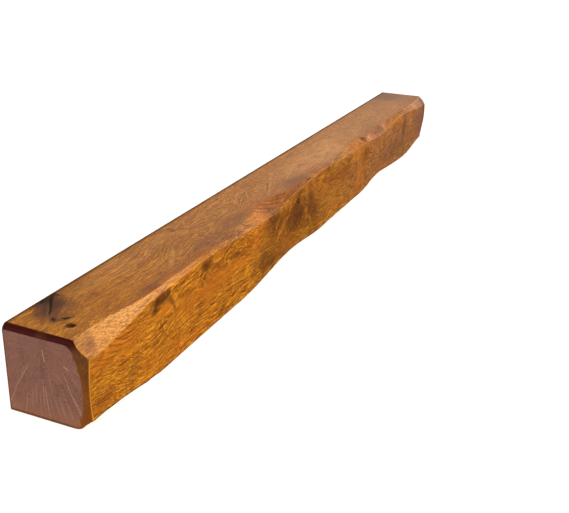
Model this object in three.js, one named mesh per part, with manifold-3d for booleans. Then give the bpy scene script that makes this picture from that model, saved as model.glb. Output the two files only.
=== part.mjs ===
// Oak mantel beam: one length of solid oak, square in section. The top, the back and the underside
// are flat. Both front edges are cut back by hand in long scoops, the front face is gently hollowed
// between them, and the two ends are bevelled on the sides that show.

import * as THREE from 'three';
import { mergeVertices } from 'three/addons/utils/BufferGeometryUtils.js';
import Module from 'manifold-3d';

// Sizes are in millimetres. X runs along the beam, Y from the room to the wall, and Z is up.
const LENGTH = 1830;
const DEPTH = 145;
const HEIGHT = 145;
const EASE = 1.5; // the two back edges are only broken with sandpaper
const STATION_STEP = 15; // spacing of the cross-sections along the beam
const FACE_LEVELS = 5; // heights at which the front face is shaped

// A scooped line has a least value and a few tool strokes. Each stroke is
// [deepest point from the left end, run-in, run-out, depth at the deepest point].
const CHAMFER_WIDTH = { // upper chamfer, measured back across the top
  least: 9,
  strokes: [
    [40, 160, 150, 16.5], [640, 95, 145, 14], [580, 200, 595, 10], [1230, 250, 30, 20],
    [1355, 110, 65, 20], [1430, 40, 95, 14], [1525, 50, 315, 15.5], [1835, 145, 60, 13.5],
  ],
};
const CHAMFER_DROP = { // upper chamfer, measured down the front
  least: 1.5,
  strokes: [
    [25, 135, 165, 27.5], [150, 90, 235, 5.5], [640, 340, 135, 14],
    [1135, 70, 60, 6], [1375, 275, 135, 14.5], [1835, 295, 60, 21.5],
  ],
};
const LOWER_RISE = { // lower chamfer, measured up the front
  least: 0.5,
  strokes: [
    [25, 170, 190, 15], [745, 245, 180, 8.5], [1060, 485, 445, 9.5],
    [1405, 230, 145, 12], [1535, 105, 165, 8.5], [1840, 275, 100, 15.5],
  ],
};
const UPPER_HOLLOW = { least: 0, strokes: [[910, 150, 165, 8]] }; // front face near the top
const LOWER_HOLLOW = { // front face near the underside
  least: 0,
  strokes: [[745, 245, 180, 7], [1405, 230, 145, 9], [1840, 275, 100, 8]],
};
const LOWER_SLOPE = 1.2; // the lower chamfer's width for each millimetre of its rise

// The rounded bevel of each end. At each corner of the section it reaches some way along the beam,
// and draws the end face back from the front and down from the top: [reach, back, down].
const BEVEL = {
  heel: [EASE, 0, 0],
  back: [8.5, 0, 9],
  chamferTop: [5, 10, 8.5],
  chamferMiddle: [5, 11, 11],
  chamferFoot: [10, 12, 12],
  faceMiddle: [5, 8.5, 0],
  faceFoot: [10, 10, -8],
  sole: [9, 3, 0],
};
const BEVEL_ROWS = 3; // facets across the bevel
const BEVEL_SWELL = 1.5; // 1 would be a flat bevel, and a larger value swells outwards

// The open knot and the drying crack in the top, near the left end. Places are [from the left end,
// from the front plane].
const KNOT = { at: [37.5, 54.5], radii: [8.5, 5], depth: 5, turn: -0.87 };
const CRACK = { from: [52, 101], bend: [80, 117], to: [108, 139], halfWidth: 1.3, depth: 9 };

const OAK = { color: 0xa9682c, roughness: 0.42, metalness: 0 };

// Depth of all the strokes of a scooped line at a distance x from the left end. One stroke swells
// and dies away as a squared cosine.
function scooped(line, x) {
  let depth = line.least;
  for (const [middle, runIn, runOut, stroke] of line.strokes) {
    const reach = (x - middle) / (x < middle ? runIn : runOut);
    if (Math.abs(reach) < 1) depth += stroke * Math.cos(Math.PI * reach / 2) ** 2;
  }
  return depth;
}

// How far the front face lies behind its plane at a height z. The upper and the lower hollow each
// fade out at the middle of the face.
function faceHollow(x, z) {
  const upper = THREE.MathUtils.smoothstep(z, HEIGHT * 0.3, HEIGHT);
  const lower = 1 - THREE.MathUtils.smoothstep(z, 0, HEIGHT * 0.7);
  return scooped(UPPER_HOLLOW, x) * upper + scooped(LOWER_HOLLOW, x) * lower;
}

// The cross-section at x, counter-clockwise seen from the right end. Each corner has its place, y
// behind the front plane and z above the underside, and its own share of the end bevel.
function section(x) {
  const width = scooped(CHAMFER_WIDTH, x);
  const foot = HEIGHT - scooped(CHAMFER_DROP, x);
  const rise = scooped(LOWER_RISE, x);
  const corners = [
    { y: DEPTH - EASE, z: 0, bevel: BEVEL.heel },
    { y: DEPTH, z: EASE, bevel: BEVEL.heel },
    { y: DEPTH, z: HEIGHT - EASE, bevel: BEVEL.back },
    { y: DEPTH - EASE, z: HEIGHT, bevel: BEVEL.back },
    { y: width, z: HEIGHT, bevel: BEVEL.chamferTop },
    { y: (width + faceHollow(x, foot)) / 2, z: (HEIGHT + foot) / 2, bevel: BEVEL.chamferMiddle },
  ];
  for (let level = 0; level <= FACE_LEVELS; level += 1) {
    const down = level / FACE_LEVELS;
    const z = THREE.MathUtils.lerp(foot, rise, down);
    const end = down < 0.5 ? BEVEL.chamferFoot : BEVEL.faceFoot;
    const share = (2 * down - 1) ** 2;
    const bevel = end.map((value, i) => THREE.MathUtils.lerp(BEVEL.faceMiddle[i], value, share));
    corners.push({ y: faceHollow(x, z), z, bevel });
  }
  corners.push({ y: faceHollow(x, rise) + rise * LOWER_SLOPE, z: 0, bevel: BEVEL.sole });
  return corners;
}

// Distances of the sections from the left end, between the two bevels.
function stations() {
  const first = Math.max(...Object.values(BEVEL).map(([reach]) => reach)) + STATION_STEP / 2;
  const last = LENGTH - first;
  const count = Math.round((last - first) / STATION_STEP);
  return Array.from({ length: count + 1 }, (_, i) => first + (last - first) * i / count);
}

function place(x, y, z) {
  return new THREE.Vector3(x - LENGTH / 2, y - DEPTH / 2, z);
}

// The rings of one end, from its flat face to the edge of its bevel. inward is 1 at the left end
// and -1 at the right.
function endRings(x, inward) {
  const corners = section(x);
  return Array.from({ length: BEVEL_ROWS + 1 }, (_, row) => {
    const along = (row / BEVEL_ROWS) ** BEVEL_SWELL;
    const drawn = (1 - row / BEVEL_ROWS) ** BEVEL_SWELL;
    return corners.map(({ y, z, bevel: [reach, back, down] }) => (
      place(x + inward * reach * along, y + back * drawn, z - down * drawn)
    ));
  });
}

// All rings of the beam, from left to right.
function rings() {
  return [
    ...endRings(0, 1),
    ...stations().map((x) => section(x).map(({ y, z }) => place(x, y, z))),
    ...endRings(LENGTH, -1).reverse(),
  ];
}

// Closed skin over a row of rings with equal numbers of corners, capped at both ends.
function skin(rows) {
  const size = rows[0].length;
  const positions = rows.flat().flatMap((p) => p.toArray());
  const faces = [];
  for (let row = 0; row + 1 < rows.length; row += 1) {
    for (let k = 0; k < size; k += 1) {
      const a = row * size + k;
      const b = row * size + (k + 1) % size;
      faces.push(a, b, b + size, a, b + size, a + size);
    }
  }
  const cap = (row, reversed) => {
    const outline = rows[row].map((p) => new THREE.Vector2(p.y, p.z));
    for (const triangle of THREE.ShapeUtils.triangulateShape(outline, [])) {
      const [a, b, c] = triangle.map((k) => row * size + k);
      faces.push(...(reversed ? [a, c, b] : [a, b, c]));
    }
  };
  cap(0, true);
  cap(rows.length - 1, false);
  const geometry = new THREE.BufferGeometry();
  geometry.setAttribute('position', new THREE.Float32BufferAttribute(positions, 3));
  geometry.setIndex(faces);
  return geometry;
}

// An oval bowl sunk into the top, where a loose knot fell out.
function knotBowl() {
  const bowl = new THREE.SphereGeometry(1, 16, 10);
  bowl.scale(KNOT.radii[0], KNOT.radii[1], KNOT.depth);
  bowl.rotateZ(KNOT.turn);
  bowl.translate(KNOT.at[0] - LENGTH / 2, KNOT.at[1] - DEPTH / 2, HEIGHT);
  return bowl;
}

// A thin bent lens, pointed at both ends, cut down into the top.
function crackBlade() {
  const [from, bend, to] = [CRACK.from, CRACK.bend, CRACK.to].map((p) => new THREE.Vector2(...p));
  const across = to.clone().sub(from).normalize().rotateAround(new THREE.Vector2(), Math.PI / 2);
  const near = bend.clone().addScaledVector(across, -CRACK.halfWidth * 2);
  const far = bend.clone().addScaledVector(across, CRACK.halfWidth * 2);
  const outline = new THREE.Shape();
  outline.moveTo(from.x, from.y);
  outline.quadraticCurveTo(near.x, near.y, to.x, to.y);
  outline.quadraticCurveTo(far.x, far.y, from.x, from.y);
  const options = { depth: CRACK.depth * 2, bevelEnabled: false, curveSegments: 8 };
  const blade = new THREE.ExtrudeGeometry(outline, options);
  blade.translate(-LENGTH / 2, -DEPTH / 2, HEIGHT - CRACK.depth);
  return blade;
}

const library = await Module();
library.setup();

function toSolid(geometry) {
  const bare = geometry.clone();
  bare.deleteAttribute('normal');
  bare.deleteAttribute('uv');
  const merged = mergeVertices(bare, 1e-4);
  return new library.Manifold(new library.Mesh({
    numProp: 3,
    vertProperties: new Float32Array(merged.attributes.position.array),
    triVerts: new Uint32Array(merged.index.array),
  }));
}

function toGeometry(solid) {
  const mesh = solid.getMesh();
  const geometry = new THREE.BufferGeometry();
  geometry.setAttribute('position', new THREE.BufferAttribute(mesh.vertProperties, 3));
  geometry.setIndex(new THREE.BufferAttribute(mesh.triVerts, 1));
  geometry.computeVertexNormals();
  return geometry;
}

function oakBeam() {
  const solid = toSolid(skin(rings())).subtract(toSolid(knotBowl())).subtract(toSolid(crackBlade()));
  const beam = new THREE.Mesh(
    toGeometry(solid),
    new THREE.MeshStandardMaterial({ ...OAK, flatShading: true }),
  );
  beam.name = 'oak_beam';
  return beam;
}

const mantel = new THREE.Group();
mantel.add(oakBeam());

export default mantel;
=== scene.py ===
"""Oak mantel beam: the hand-shaped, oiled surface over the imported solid, and the studio around it."""
import math

import bpy
import numpy as np
from mathutils import Matrix, Quaternion, Vector


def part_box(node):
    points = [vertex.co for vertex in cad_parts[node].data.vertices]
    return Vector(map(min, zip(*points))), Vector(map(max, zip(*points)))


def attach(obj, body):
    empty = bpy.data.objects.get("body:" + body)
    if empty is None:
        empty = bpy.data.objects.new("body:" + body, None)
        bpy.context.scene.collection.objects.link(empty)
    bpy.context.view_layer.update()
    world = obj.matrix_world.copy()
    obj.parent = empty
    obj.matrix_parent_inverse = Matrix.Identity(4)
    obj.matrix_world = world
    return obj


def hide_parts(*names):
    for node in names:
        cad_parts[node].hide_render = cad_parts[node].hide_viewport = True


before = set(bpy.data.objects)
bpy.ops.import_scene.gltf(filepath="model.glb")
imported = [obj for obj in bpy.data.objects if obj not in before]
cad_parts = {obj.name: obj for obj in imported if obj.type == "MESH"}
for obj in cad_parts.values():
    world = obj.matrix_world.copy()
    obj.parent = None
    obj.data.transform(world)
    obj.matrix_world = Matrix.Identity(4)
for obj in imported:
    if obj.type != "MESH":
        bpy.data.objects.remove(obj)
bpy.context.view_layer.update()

NODE = "oak_beam"
MM = 0.001
_low, _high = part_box(NODE)
LENGTH, DEPTH, HEIGHT = ((high - low) / MM for low, high in zip(_low, _high))

# Places on the beam are (along, back, up) in millimetres: from the left end, from the front plane
# and from the underside.

# A scooped line has a least value and a few tool strokes. Each stroke is
# (deepest point, run-in, run-out, depth at the deepest point).
CHAMFER_WIDTH = (9, (
    (40, 160, 150, 16.5), (640, 95, 145, 14), (580, 200, 595, 10), (1230, 250, 30, 20),
    (1355, 110, 65, 20), (1430, 40, 95, 14), (1525, 50, 315, 15.5), (1835, 145, 60, 13.5)))
CHAMFER_DROP = (1.5, (
    (25, 135, 165, 27.5), (150, 90, 235, 5.5), (640, 340, 135, 14),
    (1135, 70, 60, 6), (1375, 275, 135, 14.5), (1835, 295, 60, 21.5)))
LOWER_RISE = (0.5, (
    (25, 170, 190, 15), (745, 245, 180, 8.5), (1060, 485, 445, 9.5),
    (1405, 230, 145, 12), (1535, 105, 165, 8.5), (1840, 275, 100, 15.5)))
UPPER_HOLLOW = (0, ((910, 150, 165, 8),))
LOWER_HOLLOW = (0, ((745, 245, 180, 7), (1405, 230, 145, 9), (1840, 275, 100, 8)))
LOWER_SLOPE = 1.2

# Corners of the section, from the foot of the wall side over the top and down the front. Each has
# its eased radius and its share of the end bevel: (reach along the beam, drawn back, drawn down).
CORNERS = ("heel", "back", "chamfer_top", "chamfer_foot", "face_foot", "sole")
EASED = {"heel": 2.2, "back": 2.2, "chamfer_top": 1.3, "chamfer_foot": 1.5, "face_foot": 1.6, "sole": 1.6}
EASED_AT_END = {"heel": 2.2, "back": 2.2, "chamfer_top": 5, "chamfer_foot": 12, "face_foot": 9, "sole": 8}
# How much further the top edge of the chamfer is rubbed down, as a scooped line.
SOFTENED = (0, ((480, 90, 90, 2), (650, 110, 120, 3), (1190, 140, 120, 1.5), (1430, 180, 300, 3)))
BEVEL = {
    "heel": (1.5, 0, 0),
    "back": (8.5, 0, 8.5),
    "chamfer_top": (5, 8.5, 8.5),
    "chamfer_foot": (10, 14.3, 8.3),
    "face_foot": (10, 10, -8),
    "sole": (9, 3, 0),
}
BEVEL_CHAMFER_MIDDLE = (1.5, 8.5, 8.5)
BEVEL_FACE_MIDDLE = (5, 8.5, 0)
BEVEL_SWELL = 1.6  # 1 would be a flat bevel, and a larger value swells outwards

# How finely the surface is laid out.
ARC_COLUMNS = 5
PANEL_COLUMNS = {"heel": 10, "back": 33, "chamfer_top": 13, "chamfer_foot": 35, "face_foot": 5, "sole": 10}
PANEL_MARGIN = 0.012  # share of a panel between its eased edge and its first column
FINE_ROWS = (10, 130, 1.3)  # from, to and spacing, where the knot and the crack are
BODY_ROWS = (130, 1770, 3.5)
FAR_ROWS = (1770, LENGTH - 11, 2)
BEVEL_ROWS = 8
CAP_ROWS = 20

PITH = (75, 125)  # (back, up) of the heart of the tree in the left end

# The open knot and the drying crack in the top: places are (along, back).
OPEN_KNOT = {"at": (38.5, 54.5), "radii": (8.5, 6.5), "depth": 5, "turn": -0.87}
CRACK = {"start": (52, 101), "end": (108, 139), "bow": -1.2, "half_width": 1.2, "depth": 3}


def scooped(line, along):
    """Depth of a scooped line: its least value plus, for each stroke, the stroke's depth times the
    squared cosine of a quarter turn's share of the distance from its deepest point."""
    least, strokes = line
    depth = np.full_like(along, least, dtype=float)
    for middle, run_in, run_out, stroke in strokes:
        reach = (along - middle) / np.where(along < middle, run_in, run_out)
        depth += stroke * np.cos(np.pi / 2 * np.clip(reach, -1, 1)) ** 2
    return depth


def smoothstep(value, low, high):
    """Rises from 0 at low to 1 at high: t squared times three less two t."""
    t = np.clip((value - low) / (high - low), 0, 1)
    return t * t * (3 - 2 * t)


def lerp(start, end, share):
    return start + (end - start) * share


def unit(vectors):
    return vectors / np.maximum(np.linalg.norm(vectors, axis=-1, keepdims=True), 1e-9)


def swell(place, wavelength, seed, waves=9):
    """Gentle random unevenness of unit strength: the mean of sine waves in random directions, each
    with a wavelength between 0.7 and 1.6 of the one asked for, scaled by the root of their count."""
    rng = np.random.default_rng(seed)
    total = np.zeros(place.shape[:-1])
    for _ in range(waves):
        direction = unit(rng.normal(size=3))
        length = wavelength * rng.uniform(0.7, 1.6)
        total += np.sin(place @ direction * (2 * np.pi / length) + rng.uniform(0, 2 * np.pi))
    return total * math.sqrt(2 / waves)


def face_hollow(along, up):
    """How far the front face lies behind its plane: the upper hollow fading out downwards and the
    lower hollow fading out upwards."""
    upper = smoothstep(up, HEIGHT * 0.3, HEIGHT)
    lower = 1 - smoothstep(up, 0, HEIGHT * 0.7)
    return scooped(UPPER_HOLLOW, along) * upper + scooped(LOWER_HOLLOW, along) * lower


def corner_places(along):
    """(back, up) of each corner of the section at each distance along, as one array per corner."""
    width = scooped(CHAMFER_WIDTH, along)
    foot = HEIGHT - scooped(CHAMFER_DROP, along)
    rise = scooped(LOWER_RISE, along)
    full, none = np.full_like(along, DEPTH), np.zeros_like(along)
    return [np.stack(pair, -1) for pair in (
        (full, none),
        (full, none + HEIGHT),
        (width, none + HEIGHT),
        (face_hollow(along, foot), foot),
        (face_hollow(along, rise), rise),
        (face_hollow(along, rise) + rise * LOWER_SLOPE, none))]


class Columns:
    """The columns round the section: for each corner an eased arc, then the panel to the next one.
    corner, share and arc say where each column lies: on the arc of its corner when arc is true, and
    otherwise at a share of the way to the next corner."""

    def __init__(self):
        corner, share, arc = [], [], []
        for index, name in enumerate(CORNERS):
            inner = np.linspace(PANEL_MARGIN, 1 - PANEL_MARGIN, PANEL_COLUMNS[name])
            corner += [index] * (ARC_COLUMNS + len(inner))
            share += [*np.linspace(0, 1, ARC_COLUMNS), *inner]
            arc += [True] * ARC_COLUMNS + [False] * len(inner)
        self.corner, self.share, self.arc = np.array(corner), np.array(share), np.array(arc)
        self.count = len(corner)

    def of(self, name, arc):
        return np.flatnonzero((self.corner == CORNERS.index(name)) & (self.arc == arc))

    def bevel(self):
        """Reach, drawn back and drawn down of the end bevel at each column. It runs evenly from
        corner to corner, by way of its middle value on the chamfer and by a square on the face."""
        ends = np.array([BEVEL[name] for name in CORNERS], float)
        here, there = ends[self.corner], ends[(self.corner + 1) % len(CORNERS)]
        share = np.where(self.arc, 0, self.share)[:, None]
        bevel = lerp(here, there, share)
        chamfer, face = self.of("chamfer_top", False), self.of("chamfer_foot", False)
        bowed = np.array(BEVEL_CHAMFER_MIDDLE) - (ends[2] + ends[3]) / 2
        bevel[chamfer] += bowed * 4 * share[chamfer] * (1 - share[chamfer])
        toward = np.where(share[face] < 0.5, ends[3], ends[4])
        bevel[face] = lerp(np.array(BEVEL_FACE_MIDDLE), toward, (2 * share[face] - 1) ** 2)
        return bevel.T


def section(along, drawn, columns):
    """(back, up) of every column at its own distance along. An eased arc is a parabola from a point
    one radius before the corner to one a radius after it, and a panel joins one arc to the next.
    The radii grow towards the end faces, with the share by which a row is drawn in."""
    flat = np.zeros(along.shape + (2,))

    def radius_of(name, room, chosen):
        eased = lerp(EASED[name], EASED_AT_END[name], drawn)[..., None]
        if name == "chamfer_top":
            eased = eased + scooped(SOFTENED, along[:, chosen])[..., None]
        return np.minimum(eased, 0.42 * room)

    for index, name in enumerate(CORNERS):
        following = CORNERS[(index + 1) % len(CORNERS)]
        for arc in (True, False):
            chosen = columns.of(name, arc)
            corners = corner_places(along[:, chosen])
            before, here, after = (corners[(index + step) % len(CORNERS)] for step in (-1, 0, 1))
            share = columns.share[chosen][None, :, None]
            room = np.linalg.norm(after - here, axis=-1, keepdims=True)
            room_before = np.linalg.norm(before - here, axis=-1, keepdims=True)
            radius = radius_of(name, np.minimum(room, room_before), chosen)
            if arc:
                flat[:, chosen] = (here + radius * (1 - share) ** 2 * unit(before - here)
                                   + radius * share ** 2 * unit(after - here))
            else:
                beyond = corners[(index + 2) % len(CORNERS)]
                room_after = np.linalg.norm(beyond - after, axis=-1, keepdims=True)
                leave = radius / np.maximum(room, 1e-9)
                arrive = radius_of(following, np.minimum(room, room_after), chosen) / np.maximum(room, 1e-9)
                flat[:, chosen] = lerp(here, after, lerp(leave, 1 - arrive, share))
    face = columns.of("chamfer_foot", False)
    flat[:, face, 0] = face_hollow(along[:, face], flat[:, face, 1])
    return flat


def crack_middle(along):
    """Share of the crack's length at a distance along, and the crack's line across the top there:
    a straight chord bowed by a parabola."""
    (a0, b0), (a1, b1) = CRACK["start"], CRACK["end"]
    share = np.clip((along - a0) / (a1 - a0), 0, 1)
    return share, lerp(b0, b1, share) + CRACK["bow"] * 4 * share * (1 - share)


def draw_columns_in(place, columns):
    """Moves the columns of the top closer together beside the open knot and the crack: each is
    drawn to the feature's line by a share that dies away as a bell curve."""
    top = columns.of("back", False)
    along, back = place[:, top, 0], place[:, top, 1]
    _, line = crack_middle(along)
    (a0, _), (a1, _) = CRACK["start"], CRACK["end"]
    near_crack = smoothstep(along, a0 - 14, a0 + 6) * (1 - smoothstep(along, a1 - 2, a1 + 22))
    near_knot = np.exp(-((along - OPEN_KNOT["at"][0]) / 14) ** 4)
    for strength, middle, window, reach in (
            (0.74, line, near_crack, 9), (0.6, OPEN_KNOT["at"][1], near_knot, 12)):
        apart = back - middle
        back = back - strength * window * apart * np.exp(-(apart / reach) ** 2)
    place[:, top, 1] = back


def sunk(along, back):
    """Depth of the crack and of the open knot under the top. The crack is a groove with straight
    sides that narrows to both its tips, and the knot is a half ellipsoid."""
    share, line = crack_middle(along)
    (a0, b0), (a1, b1) = CRACK["start"], CRACK["end"]
    slant = (a1 - a0) / math.hypot(a1 - a0, b1 - b0)
    half_width = CRACK["half_width"] * (4 * share * (1 - share)) ** 0.6 + 1e-6
    groove = CRACK["depth"] * np.clip(1.15 - abs(back - line) * slant / half_width, 0, 1)
    within = (along > a0) & (along < a1)
    (middle_a, middle_b), turn = OPEN_KNOT["at"], OPEN_KNOT["turn"]
    u = (along - middle_a) * math.cos(turn) + (back - middle_b) * math.sin(turn)
    v = (back - middle_b) * math.cos(turn) - (along - middle_a) * math.sin(turn)
    inside = 1 - (u / OPEN_KNOT["radii"][0]) ** 2 - (v / OPEN_KNOT["radii"][1]) ** 2
    bowl = OPEN_KNOT["depth"] * np.sqrt(np.clip(inside, 0, 1))
    return np.maximum(groove * within, bowl)


def stations():
    """Shares of the way from the left bevel to the right one, closest where the detail is."""
    spans = [np.arange(start, stop, step) for start, stop, step in (FINE_ROWS, BODY_ROWS, FAR_ROWS)]
    along = np.concatenate([*spans, [LENGTH - 10]])
    return (along - along[0]) / (along[-1] - along[0])


def beam_surface(columns):
    """Places of the whole skin as rows by columns, and how far each row is through the end bevel
    and the end cap. A bevel row at a share t has gone t to the power of the swell of its reach, and
    is still drawn in by 1 - t to that power. A cap row is the first bevel row shrunk to the pith."""
    reach, drawn_back, drawn_down = columns.bevel()
    t = np.linspace(0, 1, BEVEL_ROWS + 1)[:-1, None]
    main = stations()[:, None]
    left, right = reach * t ** BEVEL_SWELL, LENGTH - reach * t[::-1] ** BEVEL_SWELL
    along = np.concatenate([left, lerp(reach, LENGTH - reach, main), right])
    drawn = np.concatenate([(1 - t) ** BEVEL_SWELL, 0 * main, (1 - t[::-1]) ** BEVEL_SWELL])
    bevelled = np.concatenate([1 - t, 0 * main, 1 - t[::-1]])
    flat = section(along, drawn, columns)
    flat[..., 0] += drawn_back * drawn
    flat[..., 1] -= drawn_down * drawn
    skin = np.concatenate([along[..., None], flat], -1)
    draw_columns_in(skin, columns)
    shrink = np.linspace(0, 1, CAP_ROWS + 1)[1:-1, None, None] ** 0.9
    left_pole, right_pole = (np.array([x, *PITH], float) for x in (0, LENGTH))
    left_cap = lerp(left_pole, skin[0], shrink)
    right_cap = lerp(right_pole, skin[-1], shrink[::-1])
    place = np.concatenate([left_cap, skin, right_cap])
    capped = np.concatenate([np.ones(CAP_ROWS - 1), np.zeros(len(skin)), np.ones(CAP_ROWS - 1)])
    rim = np.concatenate([np.ones(CAP_ROWS - 1), bevelled[:, 0], np.ones(CAP_ROWS - 1)])
    return place, capped, rim, (left_pole, right_pole)


def grid_normals(place):
    """Unit normals of a grid closed round its columns: the cross product of the two directions."""
    across = np.roll(place, -1, 1) - np.roll(place, 1, 1)
    return unit(np.cross(across, np.gradient(place, axis=0)))


# Places where the tools left the wood lumpy: (middle along, reach along, strength in millimetres).
LUMPS = ((490, 70, 0.35), (1185, 60, 0.6), (660, 80, 0.25), (1330, 60, 0.3), (1500, 120, 0.15))
FACE_WAVES = 0.3


def tool_marks(place, shaped):
    """Unevenness left by the tools, in millimetres outwards: long low waves on the front, and
    shorter lumps on the chamfers where LUMPS says."""
    along = place[..., 0]
    lumpy = sum(depth * np.exp(-((along - middle) / reach) ** 2) for middle, reach, depth in LUMPS)
    waves = FACE_WAVES * swell(place, 110, 3) + 0.25 * swell(place * (1, 0.6, 0.6), 46, 5)
    return shaped * (waves + (0.25 + lumpy) * swell(place * (1, 0.7, 0.7), 27, 8) * 0.6)


# The wood as it grew. A knot is (middle, radii) with its push on the fibres and its lift of the
# growth rings, which close round it.
KNOTS = (
    ((80, 118, 145), (34, 32, 40), 0.25, 8),
    ((37, 55, 145), (13, 10, 20), 0.8, 4),
    ((54, 78, 145), (14, 12, 20), 0.5, 5),
    ((96, 0, 146), (56, 34, 30), 0.25, 27),
    ((205, 0, 136), (42, 26, 20), 0.7, 16),
    ((204, 0, 82), (14, 20, 14), 0.4, 5),
    ((346, 0, 116), (18, 24, 30), 0.7, 10),
    ((650, 20, 140), (80, 52, 30), 0.4, 18),
    ((436, 125, 145), (10, 12, 16), 0.7, 7),
    ((574, 121, 145), (9, 10, 12), 0.6, 4),
    ((470, 0, 110), (44, 24, 14), 0.5, 12),
    ((410, 0, 20), (14, 20, 10), 0.6, 6),
    ((575, 0, 102), (30, 24, 16), 0.5, 10),
    ((655, 0, 100), (30, 24, 18), 0.6, 12),
    ((757, 0, 88), (62, 34, 42), 0.8, 30),
    ((860, 0, 92), (30, 28, 46), 0.4, 14),
    ((822, 38, 145), (48, 16, 20), 0.5, 14),
    ((1020, 0, 110), (46, 30, 24), 0.6, 34),
    ((1206, 0, 112), (38, 26, 22), 0.6, 14),
    ((1596, 0, 92), (22, 30, 44), 0.4, 10),
    ((560, 145, 40), (40, 30, 30), 0.7, 20),
    ((1240, 145, 96), (30, 30, 24), 0.7, 18),
    ((1380, 70, 0), (34, 28, 30), 0.7, 18),
)
# Burrs, where the rings run in tangles: (middle, radii, height).
BURRS = (
    ((730, 0, 90), (95, 30, 50), 3.4), ((470, 0, 112), (60, 26, 18), 2.2),
    ((620, 20, 130), (50, 30, 24), 2.0), ((1190, 8, 125), (60, 26, 30), 2.6),
    ((870, 0, 90), (50, 30, 50), 2.4), ((640, 40, 145), (60, 40, 20), 1.6),
    ((1360, 10, 130), (60, 20, 24), 1.6),
)
# Where the fibres run slantwise: (middle, radii, slope across the top, slope up the front).
SLANTS = (
    ((76, 118, 145), (34, 30, 50), 0.78, 0), ((90, 0, 60), (200, 40, 120), 0, -0.2),
    ((400, 0, 60), (130, 40, 60), 0, -0.3), ((340, 70, 145), (90, 60, 40), 0.35, 0),
    ((690, 0, 85), (34, 30, 40), 0, 0.9), ((800, 75, 145), (130, 60, 40), 0.4, 0),
    ((650, 80, 145), (56, 40, 30), 0.6, 0), ((520, 0, 108), (60, 24, 30), 0, -0.3),
    ((1190, 0, 115), (50, 30, 30), 0, 0.6), ((840, 0, 70), (34, 30, 40), 0, 1.2),
)


def nearness(place, middle, radii):
    """Squared distance from a middle, in units of the radii."""
    return (((place - middle) / radii) ** 2).sum(-1)


def growth_rings(place):
    """Distance from the pith in millimetres, the pith wandering along the beam, with slow waves and
    with each knot's lift dying away as a bell curve."""
    along, back, up = np.moveaxis(place, -1, 0)
    pith_back = PITH[0] + 9 * np.sin(along / 210) + 5 * np.sin(along / 83)
    pith_up = PITH[1] + 5 * np.sin(along / 260) - 3 * np.sin(along / 97)
    ring = np.hypot(back - pith_back, up - pith_up)
    ring = ring + 1.6 * swell(place * (0.35, 1, 1), 60, 21) + 0.5 * swell(place * (0.5, 1, 1), 22, 22)
    for middle, radii, _, lift in KNOTS:
        ring = ring + lift * np.exp(-nearness(place, middle, radii))
    for middle, radii, height in BURRS:
        burr = swell(place, 26, 23) + 0.6 * swell(place, 13, 24)
        ring = ring + height * burr * np.exp(-nearness(place, middle, radii))
    return ring


def fibres(place):
    """Coordinates that stay the same along a fibre in back and up, and grow along it: the place,
    waving slowly, turned to each slant by a bell curve's share of its slope, with the fibres pushed
    out round each knot by its push over one plus the fourth power of the distance."""
    along, back, up = np.moveaxis(place, -1, 0)
    lean = 4 * swell(place * (1, 0.4, 0.4), 300, 31)
    ripple = 0.3 * swell(place * (1, 0.5, 0.5), 50, 33)
    flow = np.stack([along, back + lean * 0.4 + ripple, up + lean + ripple], -1)
    for middle, radii, slope_back, slope_up in SLANTS:
        run = (along - middle[0]) * np.exp(-nearness(place, middle, radii))
        flow[..., 1] -= slope_back * run
        flow[..., 2] -= slope_up * run
    for middle, radii, push, _ in KNOTS:
        share = push / (1 + nearness(place, middle, radii) ** 2)
        flow[..., 1:] += (np.array(middle[1:]) - place[..., 1:]) * (share * 0.9)[..., None]
    return flow


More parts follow.
